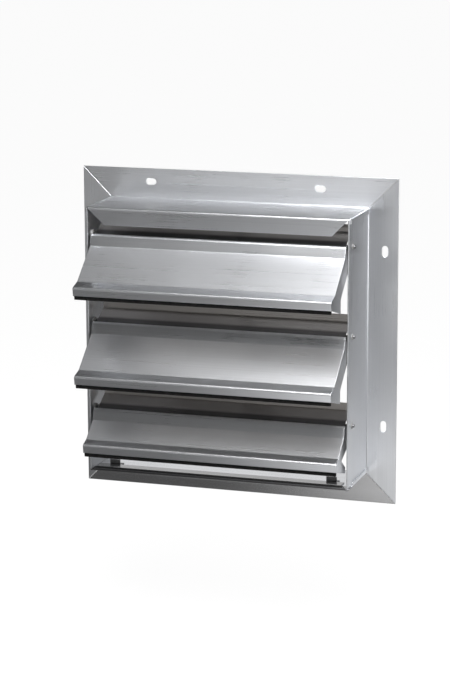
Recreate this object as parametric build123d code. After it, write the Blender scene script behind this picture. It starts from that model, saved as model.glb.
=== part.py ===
from build123d import *
from math import atan2, cos, hypot, radians, sin, sqrt, tan
import os

os.makedirs("parts", exist_ok=True)

# Automatic exhaust shutter for a wall fan opening, in millimetres.
# +Z is up, the wall lies in the plane Y = 0 and the shutter stands out of it towards -Y.

# Frame
flange_size = 330.2
box_size = 269.9
frame_depth = 74.6
frame_sheet = 1.3
frame_bend = 1.0
seam_gap = 0.3
corner_relief = 0.2
top_lip = 17.9
lip_lean = 2.5
sill_height = 4.95
ledge_depth = 14.0
ledge_play = 2.2
tab_width = 5.5
tab_start = 5.0
tab_root = 1.0
tab_round = 1.9

# Mounting slots, two to a side, stepped clockwise along each member
slot_length = 11.1
slot_width = 6.4
slot_inset = 13.3
slot_spacing = 177.8
slot_step = 3.4

# Axles and bushings
pivot_setback = 14.6
pivot_drop = 28.95
blade_pitch = 89.0
axle_r = 1.6
axle_play = 0.06
axle_out = 1.85
bushing_wall = 1.24
barrel_out = 0.6
collar_step = 1.3
collar_thick = 1.4

# Blade section at the half-open position, as (forward, up) from the top of the axle
blade_sheet = 0.8
blade_bend = 0.9
bead_bend = 2.2
nose_bend = 1.4
blade_play = 2.65
leg_short = 2.2
leg_lap = 4.4
bead_lap = 3.4
rear_edge = 7.7
leg_rear = (-14.4, 9.9)
bead_rear = (5.8, -2.0)
bead_crest = (10.6, 0.65)
bead_front = (14.9, -11.5)
panel_fall = 39.5
long_panel = 46.9
short_panel = 24.8
long_strip = (12.9, -3.8)
short_strip = (9.4, -3.4)
lip = (-1.1, -8.1)

# Folded blade ends, with a foot behind the lip
foot_length = 33.3
foot_fall = 15.1
long_heel = 13.4
short_heel = 6.0
long_notch = (-24.3, -4.6)
short_notch = (-11.0, -4.8)
neck = (-4.0, -20.6)
cheek_back = 7.5
cheek_drop = 9.6
eye_wall = 1.0

# Felt strips on the backs of the lips
felt_thick = 3.0
felt_lap = 4.6
long_felt_drop = 4.2
short_felt_drop = 2.8

# Tie bar behind the blades, with a link arm and a pin for each blade
link_back = 38.0
link_drop = 8.0
bar_width = 9.0
bar_thick = 2.0
bar_end = 5.2
bar_round = 3.0
pin_r = 2.0
pin_play = 0.06
pin_head_r = 3.3
pin_head = 1.1
arm_sheet = 1.2
arm_gap = 0.3
arm_eye_r = 5.0
arm_width = 14.0
arm_start = 1.5
arm_seat = 12.0

# Stop clips on the floor of the frame, behind the sill ledge
clip_spacing = 228.0
clip_gap = 2.6
clip_sheet = 1.3
clip_width = 10.6
clip_rise = 7.6
clip_foot = 12.0

# Places that follow from the sizes
half = flange_size / 2
box_half = box_size / 2
inner_half = box_half - frame_sheet
mid = frame_sheet / 2
over = 1.0
pivot_y = pivot_setback - frame_depth
pivot_top = box_half - pivot_drop
pivot_z = {place: pivot_top - k * blade_pitch for k, place in enumerate(("top", "middle", "bottom"))}
bore_r = axle_r + axle_play
barrel_r = bore_r + bushing_wall
collar_r = barrel_r + collar_step
blade_half = inner_half - blade_play
cheek_inner = blade_half - blade_sheet
hands = (("right", 1), ("left", -1))


def unit(a, b):
    length = hypot(b[0] - a[0], b[1] - a[1])
    return (b[0] - a[0]) / length, (b[1] - a[1]) / length


def moved(point, direction, amount):
    return point[0] + direction[0] * amount, point[1] + direction[1] * amount


def added(a, b):
    return a[0] + b[0], a[1] + b[1]


def folded(points, thickness, radii, x0, x1):
    """A sheet folded along a centreline in the YZ plane, from x0 to x1; radii are those inside the folds."""
    sides = {1: [], -1: []}

    def beside(point, d, side):
        return Vector(x0, point[0] - side * d[1] * thickness / 2, point[1] + side * d[0] * thickness / 2)

    d = unit(points[0], points[1])
    first = {side: beside(points[0], d, side) for side in sides}
    last = dict(first)
    for before, here, after, radius in zip(points, points[1:], points[2:], radii):
        d0, d1 = unit(before, here), unit(here, after)
        corner_r = radius + thickness / 2
        angle = atan2(d0[0] * d1[1] - d0[1] * d1[0], d0[0] * d1[0] + d0[1] * d1[1])
        turn = 1 if angle > 0 else -1
        reach = corner_r * tan(abs(angle) / 2)
        start, stop = moved(here, d0, -reach), moved(here, d1, reach)
        centre = moved(start, (-d0[1], d0[0]), turn * corner_r)
        for side, edges in sides.items():
            a, b = beside(start, d0, side), beside(stop, d1, side)
            middle = moved(centre, unit(centre, here), corner_r - turn * side * thickness / 2)
            edges.append(Edge.make_line(last[side], a))
            edges.append(Edge.make_three_point_arc(a, Vector(x0, *middle), b))
            last[side] = b
    d = unit(points[-2], points[-1])
    for side, edges in sides.items():
        end = beside(points[-1], d, side)
        edges.append(Edge.make_line(last[side], end))
        last[side] = end
    caps = [Edge.make_line(tips[1], tips[-1]) for tips in (first, last)]
    outline = Wire.combine(sides[1] + sides[-1] + caps)[0]
    return extrude(Face(outline), amount=x1 - x0, dir=(1, 0, 0))


def plate(points, x0, x1):
    """A flat plate with a YZ outline, from x0 to x1."""
    outline = Wire.make_polygon([Vector(x0, y, z) for y, z in points], close=True)
    return extrude(Face(outline), amount=x1 - x0, dir=(1, 0, 0))


def block(x0, x1, y0, y1, z0, z1):
    return Pos((x0 + x1) / 2, (y0 + y1) / 2, (z0 + z1) / 2) * Box(abs(x1 - x0), y1 - y0, z1 - z0)


def rod(radius, x0, x1, y, z):
    return Pos((x0 + x1) / 2, y, z) * Rot(0, 90, 0) * Cylinder(radius, abs(x1 - x0))


def slotted(member):
    """Cuts the two mounting slots in the flange of a top member."""
    cutter = extrude(SlotOverall(slot_length, slot_width), amount=frame_sheet + over, both=True)
    for side in (1, -1):
        place = Pos(side * slot_spacing / 2 - slot_step, 0, half - slot_inset)
        member = member - place * Rot(90, 0, 0) * cutter
    return member


def mitred(member):
    """Cuts a top member along the 45 degree seams of the frame."""
    gap = seam_gap / sqrt(2)
    reach = flange_size
    for side in (1, -1):
        corner = [(-gap, 0), (reach - gap, reach), (2 * reach, reach), (2 * reach, 0)]
        outline = Wire.make_polygon([Vector(side * x, 0, z) for x, z in corner], close=True)
        wedge = extrude(Face(outline), amount=frame_depth + over, both=True, dir=(0, 1, 0))
        member = member - wedge
    return member


def member_of(profile, lip_depth):
    """A top member: mitred at the flange and lip, with its wall square between the side walls."""
    bends = [frame_bend] * (len(profile) - 2)
    sheet = mitred(folded(profile, frame_sheet, bends, -half, half))
    flange_depth = frame_sheet + frame_bend + corner_relief
    wall = block(-inner_half, inner_half, -frame_depth - over, over, 0, half + over)
    flange = block(-half, half, -flange_depth, over, 0, half + over)
    front = block(-half, half, -frame_depth - over, lip_depth - frame_depth, 0, half + over)
    return slotted(sheet & (wall + flange + front))


def end_tabs():
    """The two tabs of a top member, folded down over the side walls."""
    outer = box_half + frame_sheet
    outline = [(outer, box_half - tab_width), (outer, box_half), (inner_half - tab_root, box_half)]
    outline += [(inner_half - tab_root, inner_half), (box_half, inner_half), (box_half, box_half - tab_width)]
    tabs = []
    for _, side in hands:
        corner = Wire.make_polygon([Vector(side * x, -tab_start, z) for x, z in outline], close=True)
        length = frame_depth - tab_start - frame_sheet - frame_bend
        tab = extrude(Face(corner), amount=length, dir=(0, -1, 0))
        fold = tab.edges().filter_by(Axis.Y).sort_by_distance((side * outer, -tab_start, box_half))[0]
        tabs.append(fillet(fold, tab_round))
    return tabs[0] + tabs[1]


def to_yz(points, z):
    """Blade section points as YZ points, for a blade whose axle is at height z."""
    return [(pivot_y - f, z + axle_r + u) for f, u in points]


def write(name, shape):
    solid = shape.solid()
    solid.label = name
    export_step(solid, f"parts/{name}.step")


# Frame: the top member has a hanging lip, the bottom one a low lip with a ledge turned back from it
wall_z = box_half - mid
front_y = mid - frame_depth
flange_line = [(-mid, half), (-mid, wall_z)]
lip_zone = frame_sheet + frame_bend
lip_line = [(front_y, wall_z), (front_y + lip_lean, box_half - top_lip)]
top = member_of(flange_line + lip_line, lip_zone + lip_lean) + end_tabs()
write("frame_top", top)

ledge_z = box_half - sill_height
ledge_back = ledge_depth - frame_depth
sill_line = [(front_y, wall_z), (front_y, ledge_z + mid), (ledge_back, ledge_z + mid)]
sill = member_of(flange_line + sill_line, lip_zone) + end_tabs()
for _, side in hands:
    ledge_end = side * (cheek_inner - ledge_play)
    sill = sill - block(
        ledge_end, side * half,
        frame_sheet + corner_relief - frame_depth, ledge_back + over,
        ledge_z - over, inner_half - corner_relief)
write("frame_bottom", Rot(0, 180, 0) * sill)

for hand, side in hands:
    upright = Rot(0, side * 90, 0) * member_of(flange_line + [(-frame_depth, wall_z)], 0)
    for z in pivot_z.values():
        upright = upright - rod(barrel_r, side * (inner_half - over), side * (box_half + over), pivot_y, z)
    write(f"frame_{hand}", upright)

# Stop clips on the floor of the frame
clip_front = ledge_back + clip_gap
for hand, side in hands:
    x0, x1 = side * clip_spacing / 2 - clip_width / 2, side * clip_spacing / 2 + clip_width / 2
    riser = block(x0, x1, clip_front, clip_front + clip_sheet, -inner_half, clip_rise - inner_half)
    sole = block(x0, x1, clip_front, clip_front + clip_foot, -inner_half, clip_sheet - inner_half)
    write(f"stop_clip_{hand}", riser + sole)


def make_blade(place, z, panel, strip, heel, notch, felt_drop):
    """One blade with its folded ends, and the felt on its lip."""
    fall = radians(panel_fall)
    knee = (bead_front[0] + panel * cos(fall), bead_front[1] - panel * sin(fall))
    nose = added(knee, strip)
    lip_end = added(nose, lip)
    bead_start = moved(bead_crest, unit(bead_crest, bead_rear), bead_lap)
    face = [bead_start, bead_crest, bead_front, knee, nose, lip_end]
    face_bends = [bead_bend, blade_bend, blade_bend, nose_bend]
    leg_tail = moved(bead_crest, unit(bead_crest, bead_front), leg_lap)
    leg_line = [added(leg_rear, (0, rear_edge)), leg_rear, bead_rear, bead_crest, leg_tail]
    leg_bends = [blade_bend, blade_bend, bead_bend]
    leg_half = blade_half - leg_short
    blade = folded(to_yz(face, z), blade_sheet, face_bends, -blade_half, blade_half)
    blade = blade + folded(to_yz(leg_line, z), blade_sheet, leg_bends, -leg_half, leg_half)
    sole = moved(lip_end, (-1, -tan(radians(foot_fall))), foot_length)
    back = [sole, added(sole, (0, heel)), added(knee, notch), neck]
    back += [(-cheek_back, -cheek_drop), (-cheek_back, eye_wall), (0, eye_wall)]
    for _, side in hands:
        cheek = plate(to_yz(face + back, z), *sorted((side * cheek_inner, side * blade_half)))
        for corner, bend in ((bead_crest, bead_bend), (nose, nose_bend)):
            place_yz = to_yz([corner], z)[0]
            fold = cheek.edges().filter_by(Axis.X).sort_by_distance((side * blade_half, *place_yz))[0]
            cheek = fillet(fold, bend + blade_sheet / 2)
        blade = blade + cheek
    write(f"blade_{place}", blade - rod(axle_r, -blade_half - over, blade_half + over, pivot_y, z))

    down = unit(nose, lip_end)
    behind = (down[1], -down[0])
    near, far = blade_sheet / 2, blade_sheet / 2 + felt_thick
    upper, lower = moved(lip_end, down, -felt_lap), moved(lip_end, down, felt_drop)
    section = [moved(upper, behind, near), moved(lower, behind, near)]
    section += [moved(lower, behind, far), moved(upper, behind, far)]
    write(f"felt_{place}", plate(to_yz(section, z), -cheek_inner, cheek_inner))


def make_axle(place, z):
    """An axle rod, and the flanged bushing that it turns in at each side wall."""
    axle_half = box_half + barrel_out + axle_out
    write(f"axle_{place}", rod(axle_r, -axle_half, axle_half, pivot_y, z))
    for hand, side in hands:
        collar = rod(collar_r, side * (inner_half - collar_thick), side * inner_half, pivot_y, z)
        barrel = rod(barrel_r, side * inner_half, side * (box_half + barrel_out), pivot_y, z)
        write(f"bushing_{place}_{hand}", collar + barrel - rod(bore_r, -axle_half, axle_half, pivot_y, z))


def tangent(point, centre, radius, side):
    """Where a line from a point touches a circle."""
    distance = hypot(centre[0] - point[0], centre[1] - point[1])
    d = unit(centre, point)
    along = radius * radius / distance
    across = side * sqrt(radius * radius - along * along)
    return moved(moved(centre, d, along), (-d[1], d[0]), across)


def make_link(place, z):
    """A link arm under the blade's rear leg, and the pin that joins it to the tie bar."""
    d = unit(leg_rear, bead_rear)
    down = (d[1], -d[0])
    near, far = blade_sheet / 2, blade_sheet / 2 + arm_sheet
    ends = moved(leg_rear, d, arm_start), moved(leg_rear, d, arm_start + arm_seat)
    seat = [moved(ends[0], down, near), moved(ends[1], down, near)]
    seat += [moved(ends[1], down, far), moved(ends[0], down, far)]
    arm_x = bar_thick / 2 + arm_gap
    pin_y, pin_z = pivot_y + link_back, z - link_drop
    seat_yz = to_yz(seat, z)
    ear = [seat_yz[0], seat_yz[1], tangent(seat_yz[1], (pin_y, pin_z), arm_eye_r, 1)]
    ear += [(pin_y, pin_z), tangent(seat_yz[0], (pin_y, pin_z), arm_eye_r, -1)]
    arm = plate(seat_yz, arm_x, arm_x + arm_width) + plate(ear, arm_x, arm_x + arm_sheet)
    arm = arm + rod(arm_eye_r, arm_x, arm_x + arm_sheet, pin_y, pin_z)
    write(f"link_arm_{place}", arm - rod(pin_r, arm_x - over, arm_x + arm_sheet + over, pin_y, pin_z))

    low_x, high_x = -arm_x, arm_x + arm_sheet
    pin = rod(pin_r, low_x, high_x, pin_y, pin_z)
    for x0, x1 in ((low_x - pin_head, low_x), (high_x, high_x + pin_head)):
        pin = pin + rod(pin_head_r, x0, x1, pin_y, pin_z)
    write(f"link_pin_{place}", pin)


long_blade = (long_panel, long_strip, long_heel, long_notch, long_felt_drop)
short_blade = (short_panel, short_strip, short_heel, short_notch, short_felt_drop)
for place, z in pivot_z.items():
    make_blade(place, z, *(short_blade if place == "bottom" else long_blade))
    make_axle(place, z)
    make_link(place, z)

# Tie bar, a flat strip hung on the link pins
bar_y = pivot_y + link_back
bar_low = pivot_z["bottom"] - link_drop - bar_end
bar_top = pivot_z["top"] - link_drop + bar_end
bar = block(-bar_thick / 2, bar_thick / 2, bar_y - bar_width / 2, bar_y + bar_width / 2, bar_low, bar_top)
bar = fillet(bar.edges().filter_by(Axis.X), bar_round)
for z in pivot_z.values():
    bar = bar - rod(pin_r + pin_play, -bar_thick, bar_thick, bar_y, z - link_drop)
write("tie_bar", bar)
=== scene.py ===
import math

import bmesh
import bpy
from mathutils import Matrix, Vector, noise


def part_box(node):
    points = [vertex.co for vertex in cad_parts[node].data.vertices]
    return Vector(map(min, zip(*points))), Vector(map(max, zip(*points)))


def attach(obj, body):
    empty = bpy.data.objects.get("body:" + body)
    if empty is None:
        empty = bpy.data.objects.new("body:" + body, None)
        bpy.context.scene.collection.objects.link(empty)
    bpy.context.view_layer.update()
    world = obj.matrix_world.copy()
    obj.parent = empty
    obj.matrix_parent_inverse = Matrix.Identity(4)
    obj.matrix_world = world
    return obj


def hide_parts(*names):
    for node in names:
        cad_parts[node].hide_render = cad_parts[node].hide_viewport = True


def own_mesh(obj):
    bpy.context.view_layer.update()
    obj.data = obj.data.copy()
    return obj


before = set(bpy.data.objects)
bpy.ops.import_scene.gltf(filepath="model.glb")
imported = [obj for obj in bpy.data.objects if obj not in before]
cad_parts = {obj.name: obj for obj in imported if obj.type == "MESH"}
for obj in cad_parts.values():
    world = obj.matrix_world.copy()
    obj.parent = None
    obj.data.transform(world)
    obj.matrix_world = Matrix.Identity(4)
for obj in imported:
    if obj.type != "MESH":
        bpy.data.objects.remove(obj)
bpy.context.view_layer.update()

# Camera, in degrees and metres, lens and sensor in millimetres: right of the front, looking a little down
AZIMUTH = 17.99
ELEVATION = 12.29
ROLL = -0.22
DISTANCE = 2.4574
TARGET = Vector((-0.0149, 0.0, -0.0180))
LENS = 124.25
SENSOR = 36.0

# Stage: the part hangs over a floor. Floor and room are white in the camera's view and dim besides.
FLOOR_Z = -0.30
FLOOR_HALF = 12.0
FLOOR_GLOW = 0.96
FLOOR_TONE = 0.10
ROOM_TONE = 0.02

# What reflections see besides: pools of white on the floor, as x, y, radius and strength, and soft panels
# around the part, as azimuth from the front to the right, elevation, half width and strength
POOLS = (
    (0.33, -0.48, 0.50, 1.00),
    (0.07, -0.66, 0.30, 1.00),
    (-0.85, -2.30, 1.20, 0.85),
    (0.00, 0.15, 0.35, 1.00),
    (0.90, 0.50, 0.70, 1.00),
    (-0.70, 1.90, 1.20, 0.70),
    (-0.20, 1.60, 0.70, 0.75),
    (-0.10, 0.95, 0.30, 0.30),
    (0.36, 0.64, 0.30, 0.70),
)
PANELS = (
    (205.0, 5.0, 28.0, 0.69),
    (198.0, 12.0, 12.0, 0.60),
    (155.0, 5.0, 28.0, 0.18),
    (161.0, 13.0, 8.0, 0.70),
    (15.0, 55.0, 30.0, 1.00),
    (95.0, 20.0, 40.0, 1.00),
    (-20.0, 3.0, 20.0, 0.45),
    (-84.0, 72.0, 22.0, 0.28),
)

# Round lamps aimed at the origin: name, place, width and power
LAMPS = (
    ("top", (0.25, -0.50, 1.10), 1.0, 7.5),
    ("key", (0.30, -1.00, 1.50), 1.4, 26.0),
    ("brow", (0.45, -1.30, 1.30), 1.2, 13.0),
    ("side", (1.20, -0.35, 0.30), 1.2, 7.0),
    ("low_right", (0.45, -0.75, -0.05), 0.4, 0.1),
    ("low", (-0.15, -1.30, -0.05), 0.45, 0.2),
)

# In all materials a noise is given as scale, detail and roughness, and a bump as strength and distance.
# Colour and roughness follow the middle of a noise's range, unless another range is given.
NOISE_LOW = 0.3
NOISE_HIGH = 0.7

# Aluminium: tint, darkest and lightest tone, roughness where dark and where light, how far the brushing
# stretches a reflection, and the soft edge of cut sheet
METAL_TINT = (0.985, 1.0, 1.03)
METAL_TONES = (0.82, 0.92)
METAL_POLISH = (0.34, 0.25)
METAL_BRUSHING = 0.4
SILL_TONES = (0.84, 0.92)
SILL_POLISH = (0.24, 0.17)
SILL_BRUSHING = 0.0
EDGE_ROUND = 0.0010
EDGE_SAMPLES = 4

# Surface of the aluminium: fine streaks, scaled along X, Y and Z, clouds, and slow waves that run with them
GRAIN_LEVEL = (2.0, 900.0, 900.0)
GRAIN_UPRIGHT = (900.0, 900.0, 2.0)
STREAK_NOISE = (1.0, 6.0, 0.65)
STREAK_SHARE = 0.6
STREAK_BUMP = (0.12, 0.0002)
CLOUD_NOISE = (14.0, 3.0, 0.55)
WAVE_NOISE = (1.0, 2.0, 0.4)
WAVE_OF_GRAIN = 0.02
WAVE_LEAST = 3.0
WAVE_BUMP = (0.14, 0.004)

# Painted shade on the blades, partly dust and grime: the tone of each film, the slope (Z of the normal)
# or depth (Y) where it comes in, and the depth where the film in the hollow of the bead ends. On faces that
# look down the film is painted shade, behind the bead painted shade with some dust, and in the hollow of
# the bead painted shade with some grime.
UNDERSIDE_SHADE_TONE = (0.88, 0.86, 0.84)
UNDERSIDE_SHADE_FROM = (-0.5, -0.2)
DUST_AND_SHADE_TONE = (0.40, 0.38, 0.365)
DUST_AND_SHADE_FROM = (-0.0685, -0.0655)
GRIME_AND_SHADE_TONE = (0.135, 0.13, 0.13)
GRIME_AND_SHADE_TO = (-0.0600, -0.0572)

# Painted shade on the sill: the tone of each film and the depth (Y) where it ends or comes in. On the front
# it weakens to a share of itself over a stretch of X near the right end. The ledge and front carry painted
# shade, and the flange at the back a painted shadow.
LEDGE_SHADE_TONE = (0.42, 0.42, 0.425)
LEDGE_TO = (-0.0602, -0.0598)
FRONT_SHADE_TONE = (0.17, 0.17, 0.175)
FRONT_TO = (-0.0738, -0.0730)
RIGHT_END = (0.115, 0.145)
RIGHT_SHARE = 0.4
FOOT_SHADOW_TONE = (0.55, 0.55, 0.555)
FOOT_FROM = (-0.006, -0.003)

# Zinc plated steel and grey nylon: the mottle, the colours and roughness that it moves between, and its bump
STEEL_NOISE = (260.0, 4.0, 0.6)
STEEL_COLOURS = ((0.20, 0.20, 0.205), (0.34, 0.34, 0.345))
STEEL_POLISH = (0.30, 0.48)
STEEL_BUMP = (0.15, 0.0002)
NYLON_NOISE = (500.0, 3.0, 0.5)
NYLON_COLOURS = ((0.24, 0.24, 0.235), (0.33, 0.33, 0.32))
NYLON_POLISH = (0.42, 0.55)
NYLON_BUMP = (0.2, 0.0002)

# Black wool felt: colour of the wool and of the lint on it, where the lint sets in, and the matted fibres
FELT_COLOURS = ((0.004, 0.004, 0.004), (0.022, 0.021, 0.020))
FELT_SURFACE = {"Roughness": 0.95, "Specular IOR Level": 0.15, "Sheen Weight": 0.08, "Sheen Roughness": 0.6}
LINT_NOISE = (420.0, 4.0, 0.6)
LINT_FROM = (0.45, 0.85)
FIBRE_GRAIN = (900.0, 1600.0, 1600.0)
FIBRE_NOISE = (1.0, 5.0, 0.7)
FIBRE_BUMP = (0.8, 0.0006)

# Felt strips, in metres: how far the lip that they hang behind goes out and down, their thickness, the
# rounding of the section, the room left inside the solid, and how far a strip hangs below its solid; also
# the steps round a corner of the section and the stations along a strip
LIP_OUT = 0.0011
LIP_DROP = 0.0081
FELT_THICK = 0.003
FELT_LEAN = math.atan2(LIP_OUT, LIP_DROP)
FELT_ROUND = 0.0003
FELT_SEAT = 0.00003
FELT_HANG = {"bottom": 0.0016}
FELT_CORNER_STEPS = 4
FELT_STATIONS = 160

# Cut edge of the felt: how uneven it is, and the scale of its fine roughness and of its long waves. The
# shifts give strips at other heights another pattern.
FELT_UNEVEN = 0.00010
ROUGH_ALONG = 260.0
ROUGH_ACROSS = 900.0
ROUGH_SHIFT = 50.0
WAVY_ALONG = 45.0
WAVY_SHIFT = 90.0


class Nodes:
    """Short calls for building a node tree."""

    def __init__(self, tree):
        self.tree = tree
        tree.nodes.clear()

    def add(self, kind, **values):
        node = self.tree.nodes.new(kind)
        for name, value in values.items():
            setattr(node, name, value)
        return node

    def link(self, source, target):
        self.tree.links.new(source, target)

    def noise(self, coordinates, scale, detail, roughness):
        node = self.add("ShaderNodeTexNoise")
        node.inputs["Scale"].default_value = scale
        node.inputs["Detail"].default_value = detail
        node.inputs["Roughness"].default_value = roughness
        self.link(coordinates, node.inputs["Vector"])
        return node.outputs["Fac"]

    def mapped(self, coordinates, scale):
        node = self.add("ShaderNodeMapping")
        node.inputs["Scale"].default_value = scale
        self.link(coordinates, node.inputs["Vector"])
        return node.outputs["Vector"]

    def split(self, vector):
        """The outputs X, Y and Z of a vector."""
        node = self.add("ShaderNodeSeparateXYZ")
        self.link(vector, node.inputs["Vector"])
        return node.outputs

    def measured(self, operation, vector, other):
        """The distance or dot product of a vector and a fixed one."""
        node = self.add("ShaderNodeVectorMath", operation=operation)
        self.link(vector, node.inputs[0])
        node.inputs[1].default_value = other
        return node.outputs["Value"]

    def ranged(self, value, low, high, from_low=NOISE_LOW, from_high=NOISE_HIGH, kind="LINEAR"):
        """A value that goes from low to high while another passes through its range, and holds outside it."""
        node = self.add("ShaderNodeMapRange", interpolation_type=kind)
        node.inputs["From Min"].default_value = from_low
        node.inputs["From Max"].default_value = from_high
        node.inputs["To Min"].default_value = low
        node.inputs["To Max"].default_value = high
        self.link(value, node.inputs["Value"])
        return node.outputs["Result"]

    def math(self, operation, a, b):
        """A sum, product or the like of two values, each a number or a socket."""
        node = self.add("ShaderNodeMath", operation=operation)
        for socket, value in zip(node.inputs, (a, b)):
            if isinstance(value, (int, float)):
                socket.default_value = value
            else:
                self.link(value, socket)
        return node.outputs["Value"]

    def total(self, values):
        """The sum of several values."""
        whole = values[0]
        for value in values[1:]:
            whole = self.math("ADD", whole, value)
        return whole

    def blend(self, factor, low, high):
        """A colour between two others, each a tuple or a socket."""
        node = self.add("ShaderNodeMix", data_type="RGBA")
        self.link(factor, node.inputs["Factor"])
        for name, colour in (("A", low), ("B", high)):
            if isinstance(colour, tuple):
                node.inputs[name].default_value = (*colour, 1.0)
            else:
                self.link(colour, node.inputs[name])
        return node.outputs["Result"]

    def bump(self, height, strength, distance, normal=None):
        node = self.add("ShaderNodeBump")
        node.inputs["Strength"].default_value = strength
        node.inputs["Distance"].default_value = distance
        self.link(height, node.inputs["Height"])
        if normal is not None:
            self.link(normal, node.inputs["Normal"])
        return node.outputs["Normal"]

    def rays(self):
        """Two values: 1 for rays that a metal or clear surface sends on, and 1 for the camera's own rays."""
        path = self.add("ShaderNodeLightPath")
        sent_on = self.math("MAXIMUM", path.outputs["Is Glossy Ray"], path.outputs["Is Transmission Ray"])
        return sent_on, path.outputs["Is Camera Ray"]


def new_material(name):
    """An empty material: its nodes, its shader and the place of a point on the object."""
    material = bpy.data.materials.new(name)
    material.use_nodes = True
    nodes = Nodes(material.node_tree)
    shader = nodes.add("ShaderNodeBsdfPrincipled")
    output = nodes.add("ShaderNodeOutputMaterial")
    nodes.link(shader.outputs["BSDF"], output.inputs["Surface"])
    place = nodes.add("ShaderNodeTexCoord").outputs["Object"]
    return material, nodes, shader, place


def aluminium(name, grain, tangent, shade_and_dust_films=None,
              tones=METAL_TONES, polish=METAL_POLISH, brushing=METAL_BRUSHING):
    """Brushed mill aluminium: grain is the scale of the streaks, tangent the axis that they follow."""
    material, nodes, shader, place = new_material(name)
    streaks = nodes.noise(nodes.mapped(place, grain), *STREAK_NOISE)
    clouds = nodes.noise(place, *CLOUD_NOISE)
    slow = tuple(scale * WAVE_OF_GRAIN + WAVE_LEAST for scale in grain)
    waves = nodes.noise(nodes.mapped(place, slow), *WAVE_NOISE)
    mixed = nodes.math("ADD", nodes.math("MULTIPLY", streaks, STREAK_SHARE),
                       nodes.math("MULTIPLY", clouds, 1.0 - STREAK_SHARE))
    dark, light = (tuple(tone * part for part in METAL_TINT) for tone in tones)
    colour = nodes.blend(nodes.ranged(mixed, 0.0, 1.0), dark, light)
    # Painted shade laid over the colour: on the blades partly dust and grime, on the sill all painted shade
    for amount, tone in (shade_and_dust_films(nodes, place) if shade_and_dust_films else ()):
        colour = nodes.blend(amount, colour, tone)
    nodes.link(colour, shader.inputs["Base Color"])
    nodes.link(nodes.ranged(mixed, *polish), shader.inputs["Roughness"])
    shader.inputs["Metallic"].default_value = 1.0
    shader.inputs["Anisotropic"].default_value = brushing
    across = nodes.add("ShaderNodeTangent", direction_type="RADIAL", axis=tangent)
    nodes.link(across.outputs["Tangent"], shader.inputs["Tangent"])
    edge = nodes.add("ShaderNodeBevel", samples=EDGE_SAMPLES)
    edge.inputs["Radius"].default_value = EDGE_ROUND
    fine = nodes.bump(streaks, *STREAK_BUMP, edge.outputs["Normal"])
    nodes.link(nodes.bump(waves, *WAVE_BUMP, fine), shader.inputs["Normal"])
    return material


def blade_dust_and_shade(nodes, place):
    """Painted shade on a blade, partly dust and grime: on its underside, behind its bead, and most in the
    hollow of the bead.
    """
    depth = nodes.split(place)["Y"]
    slope = nodes.split(nodes.add("ShaderNodeTexCoord").outputs["Normal"])["Z"]
    under = nodes.ranged(slope, 1.0, 0.0, *UNDERSIDE_SHADE_FROM)
    inside = nodes.ranged(depth, 0.0, 1.0, *DUST_AND_SHADE_FROM)
    hollow = nodes.math("MULTIPLY", inside, nodes.ranged(depth, 1.0, 0.0, *GRIME_AND_SHADE_TO))
    return (under, UNDERSIDE_SHADE_TONE), (inside, DUST_AND_SHADE_TONE), (hollow, GRIME_AND_SHADE_TONE)


def sill_painted_shade(nodes, place):
    """Painted shade on the ledge, front and flange of the sill, in front less towards its right end."""
    spot = nodes.split(place)
    ledge = nodes.ranged(spot["Y"], 1.0, 0.0, *LEDGE_TO)
    front = nodes.ranged(spot["Y"], 1.0, 0.0, *FRONT_TO)
    along = nodes.ranged(spot["X"], 1.0, RIGHT_SHARE, *RIGHT_END)
    foot = nodes.ranged(spot["Y"], 0.0, 1.0, *FOOT_FROM)
    return (ledge, LEDGE_SHADE_TONE), (nodes.math("MULTIPLY", front, along), FRONT_SHADE_TONE), (foot, FOOT_SHADOW_TONE)


def mottled(name, metallic, mottle_noise, colours, polish, bump):
    """A plain material whose colour, roughness and bump follow one noise."""
    material, nodes, shader, place = new_material(name)
    mottle = nodes.noise(place, *mottle_noise)
    nodes.link(nodes.blend(nodes.ranged(mottle, 0.0, 1.0), *colours), shader.inputs["Base Color"])
    nodes.link(nodes.ranged(mottle, *polish), shader.inputs["Roughness"])
    nodes.link(nodes.bump(mottle, *bump), shader.inputs["Normal"])
    shader.inputs["Metallic"].default_value = metallic
    return material


def zinc_steel():
    """Zinc plated steel of the axles, arms, pins, tie bar and stop clips."""
    return mottled("steel_zinc", 1.0, STEEL_NOISE, STEEL_COLOURS, STEEL_POLISH, STEEL_BUMP)


def nylon():
    """Grey nylon of the bushings."""
    return mottled("nylon_grey", 0.0, NYLON_NOISE, NYLON_COLOURS, NYLON_POLISH, NYLON_BUMP)


def felt():
    """Black wool felt: matted fibres, a little lint, no shine."""
    material, nodes, shader, place = new_material("felt_black")
    fibres = nodes.noise(nodes.mapped(place, FIBRE_GRAIN), *FIBRE_NOISE)
    lint = nodes.ranged(nodes.noise(place, *LINT_NOISE), 0.0, 1.0, *LINT_FROM)
    nodes.link(nodes.blend(lint, *FELT_COLOURS), shader.inputs["Base Color"])
    for name, value in FELT_SURFACE.items():
        shader.inputs[name].default_value = value
    nodes.link(nodes.bump(fibres, *FIBRE_BUMP), shader.inputs["Normal"])
    return material


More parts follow.
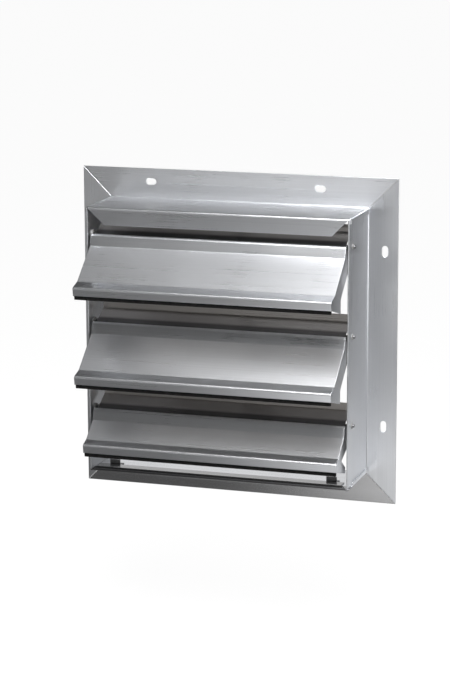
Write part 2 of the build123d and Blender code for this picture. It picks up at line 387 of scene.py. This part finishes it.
def dress():
    """Gives every CAD node that stays its material."""
    level = aluminium("aluminium_level", GRAIN_LEVEL, "X")
    # The blade and sill materials carry painted shade, on the blades partly dust and grime
    blade = aluminium("aluminium_blade", GRAIN_LEVEL, "X", blade_dust_and_shade)
    sill = aluminium("aluminium_sill", GRAIN_LEVEL, "X", sill_painted_shade, SILL_TONES, SILL_POLISH, SILL_BRUSHING)
    upright = aluminium("aluminium_upright", GRAIN_UPRIGHT, "Z")
    steel, plastic = zinc_steel(), nylon()
    by_kind = {"frame": level, "blade": blade, "stop": steel, "axle": steel, "link": steel, "tie": steel,
               "bushing": plastic}
    own = {"frame_left": upright, "frame_right": upright, "frame_bottom": sill}
    for name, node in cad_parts.items():
        kind = name.split("_")[0]
        if kind != "felt":
            node.data.materials.clear()
            node.data.materials.append(own[name] if name in own else by_kind[kind])


def add_object(name, data):
    """An object in the scene, made from its mesh, lamp or camera data."""
    thing = bpy.data.objects.new(name, data)
    bpy.context.collection.objects.link(thing)
    return thing


def felt_section(length, thickness):
    """A section with rounded corners, as (behind, up) from its middle."""
    points = []
    for quarter, (side, end) in enumerate(((1, 1), (-1, 1), (-1, -1), (1, -1))):
        corner_y = (thickness / 2 - FELT_ROUND) * side
        corner_z = (length / 2 - FELT_ROUND) * end
        for step in range(FELT_CORNER_STEPS + 1):
            angle = math.radians(90.0 * quarter + 90.0 * step / FELT_CORNER_STEPS)
            points.append((corner_y + FELT_ROUND * math.cos(angle), corner_z + FELT_ROUND * math.sin(angle)))
    return points


def felt_ring(x, section, middle):
    """The section at one place along a strip, leaning like the lip, uneven at its back and its cut edge."""
    lean_sin, lean_cos = math.sin(FELT_LEAN), math.cos(FELT_LEAN)
    wave = noise.noise((x * WAVY_ALONG, middle.z * WAVY_SHIFT, 0.0))
    ring = []
    for behind, up in section:
        rough = noise.noise((
            x * ROUGH_ALONG,
            behind * ROUGH_ACROSS,
            up * ROUGH_ACROSS + middle.z * ROUGH_SHIFT))
        back = behind - FELT_UNEVEN * abs(rough) * (behind > 0)
        rise = up + FELT_UNEVEN * (abs(rough) + abs(wave)) * (up < 0)
        ring.append((
            x,
            middle.y + back * lean_cos - rise * lean_sin,
            middle.z + back * lean_sin + rise * lean_cos))
    return ring


def felt_mesh(name, start, length, section, middle):
    """Rings of the section along a strip, joined, with both ends closed."""
    shape = bmesh.new()
    rings = []
    for station in range(FELT_STATIONS + 1):
        ring = felt_ring(start + length * station / FELT_STATIONS, section, middle)
        rings.append([shape.verts.new(point) for point in ring])
    count = len(section)
    for ring, after in zip(rings, rings[1:]):
        for i in range(count):
            j = (i + 1) % count
            shape.faces.new((ring[i], ring[j], after[j], after[i]))
    shape.faces.new(rings[0])
    shape.faces.new(rings[-1])
    bmesh.ops.recalc_face_normals(shape, faces=shape.faces)
    mesh = bpy.data.meshes.new(name)
    shape.to_mesh(mesh)
    shape.free()
    mesh.polygons.foreach_set("use_smooth", [True] * len(mesh.polygons))
    return mesh


def make_felt(place, material):
    """A felt strip behind a blade's lip, inside the solid that it stands for, apart from what hangs lower."""
    node = f"felt_{place}"
    low, high = (Vector(corner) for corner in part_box(node))
    lean_sin, lean_cos = math.sin(FELT_LEAN), math.cos(FELT_LEAN)
    solid_length = (high.z - low.z - FELT_THICK * lean_sin) / lean_cos - 2 * FELT_SEAT
    hang = FELT_HANG.get(place, 0.0)
    section = felt_section(solid_length + hang, FELT_THICK - 2 * FELT_SEAT)
    down = Vector((0.0, lean_sin, -lean_cos))
    middle = (low + high) / 2 + down * hang / 2
    span = high.x - low.x - 2 * FELT_SEAT
    mesh = felt_mesh(f"felt_strip_{place}", low.x + FELT_SEAT, span, section, middle)
    mesh.materials.append(material)
    strip = add_object(f"felt_strip_{place}", mesh)
    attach(strip, f"blade_{place}")
    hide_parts(node)
    if hang:
        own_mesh(strip)


def direction(azimuth, elevation):
    """The way from the part to a place around it; azimuth turns from the front to the right."""
    turn, rise = math.radians(azimuth), math.radians(elevation)
    return Vector((math.sin(turn) * math.cos(rise), -math.cos(turn) * math.cos(rise), math.sin(rise)))


def looking_back(way):
    """The turn of a camera or lamp that stands that way from its aim."""
    return way.to_track_quat("Z", "Y").to_matrix().to_4x4()


def make_camera():
    """The camera, at the angle of the photograph."""
    data = bpy.data.cameras.new("camera")
    data.lens = LENS
    data.sensor_width = SENSOR
    camera = add_object("camera", data)
    way = direction(AZIMUTH, ELEVATION)
    turn = looking_back(way) @ Matrix.Rotation(math.radians(ROLL), 4, "Z")
    camera.matrix_world = Matrix.Translation(TARGET + way * DISTANCE) @ turn
    bpy.context.scene.camera = camera


def make_lamp(name, place, width, power):
    """A round soft lamp that looks at the origin."""
    data = bpy.data.lights.new(name, "AREA")
    data.shape = "DISK"
    data.size = width
    data.energy = power
    lamp = add_object(name, data)
    lamp.matrix_world = Matrix.Translation(place) @ looking_back(Vector(place))


def floor_white():
    """Matte, so that it keeps the part's shadow; white for the camera, with pools of white in reflections."""
    material = bpy.data.materials.new("floor_white")
    material.use_nodes = True
    nodes = Nodes(material.node_tree)
    matte = nodes.add("ShaderNodeBsdfDiffuse")
    matte.inputs["Color"].default_value = (FLOOR_TONE, FLOOR_TONE, FLOOR_TONE, 1.0)
    spot = nodes.add("ShaderNodeTexCoord").outputs["Object"]
    pools = []
    for x, y, radius, strength in POOLS:
        away = nodes.measured("DISTANCE", spot, (x, y, 0.0))
        pools.append(nodes.ranged(away, strength, 0.0, 0.0, radius, "SMOOTHSTEP"))
    reflected, seen = nodes.rays()
    lit = nodes.math("ADD", nodes.math("MULTIPLY", seen, FLOOR_GLOW),
                     nodes.math("MULTIPLY", reflected, nodes.total(pools)))
    glow = nodes.add("ShaderNodeEmission")
    nodes.link(lit, glow.inputs["Strength"])
    both = nodes.add("ShaderNodeAddShader")
    output = nodes.add("ShaderNodeOutputMaterial")
    nodes.link(matte.outputs["BSDF"], both.inputs[0])
    nodes.link(glow.outputs["Emission"], both.inputs[1])
    nodes.link(both.outputs["Shader"], output.inputs["Surface"])
    return material


def make_floor():
    """A wide floor under the part."""
    shape = bmesh.new()
    bmesh.ops.create_grid(shape, x_segments=1, y_segments=1, size=FLOOR_HALF)
    mesh = bpy.data.meshes.new("floor")
    shape.to_mesh(mesh)
    shape.free()
    mesh.materials.append(floor_white())
    floor = add_object("floor", mesh)
    floor.location.z = FLOOR_Z


def make_room():
    """A pale studio: white for the camera, soft white panels in reflections and a dim plain tone besides."""
    world = bpy.data.worlds.new("studio")
    bpy.context.scene.world = world
    world.use_nodes = True
    nodes = Nodes(world.node_tree)
    way = nodes.add("ShaderNodeTexCoord").outputs["Generated"]
    panels = []
    for azimuth, elevation, width, strength in PANELS:
        near = nodes.measured("DOT_PRODUCT", way, direction(azimuth, elevation))
        edge = math.cos(math.radians(width))
        panels.append(nodes.ranged(near, 0.0, strength, edge, 1.0, "SMOOTHSTEP"))
    reflected, seen = nodes.rays()
    lit = nodes.math("MAXIMUM", seen, nodes.math("MULTIPLY", reflected, nodes.total(panels)))
    room = nodes.add("ShaderNodeBackground")
    room.inputs["Color"].default_value = (ROOM_TONE, ROOM_TONE, ROOM_TONE, 1.0)
    white = nodes.add("ShaderNodeBackground")
    both = nodes.add("ShaderNodeMixShader")
    output = nodes.add("ShaderNodeOutputWorld")
    nodes.link(lit, both.inputs["Fac"])
    nodes.link(room.outputs["Background"], both.inputs[1])
    nodes.link(white.outputs["Background"], both.inputs[2])
    nodes.link(both.outputs["Shader"], output.inputs["Surface"])


bpy.context.scene.view_settings.view_transform = "Standard"
dress()
felt_black = felt()
for place in ("top", "middle", "bottom"):
    make_felt(place, felt_black)
make_floor()
make_room()
for lamp in LAMPS:
    make_lamp(*lamp)
make_camera()
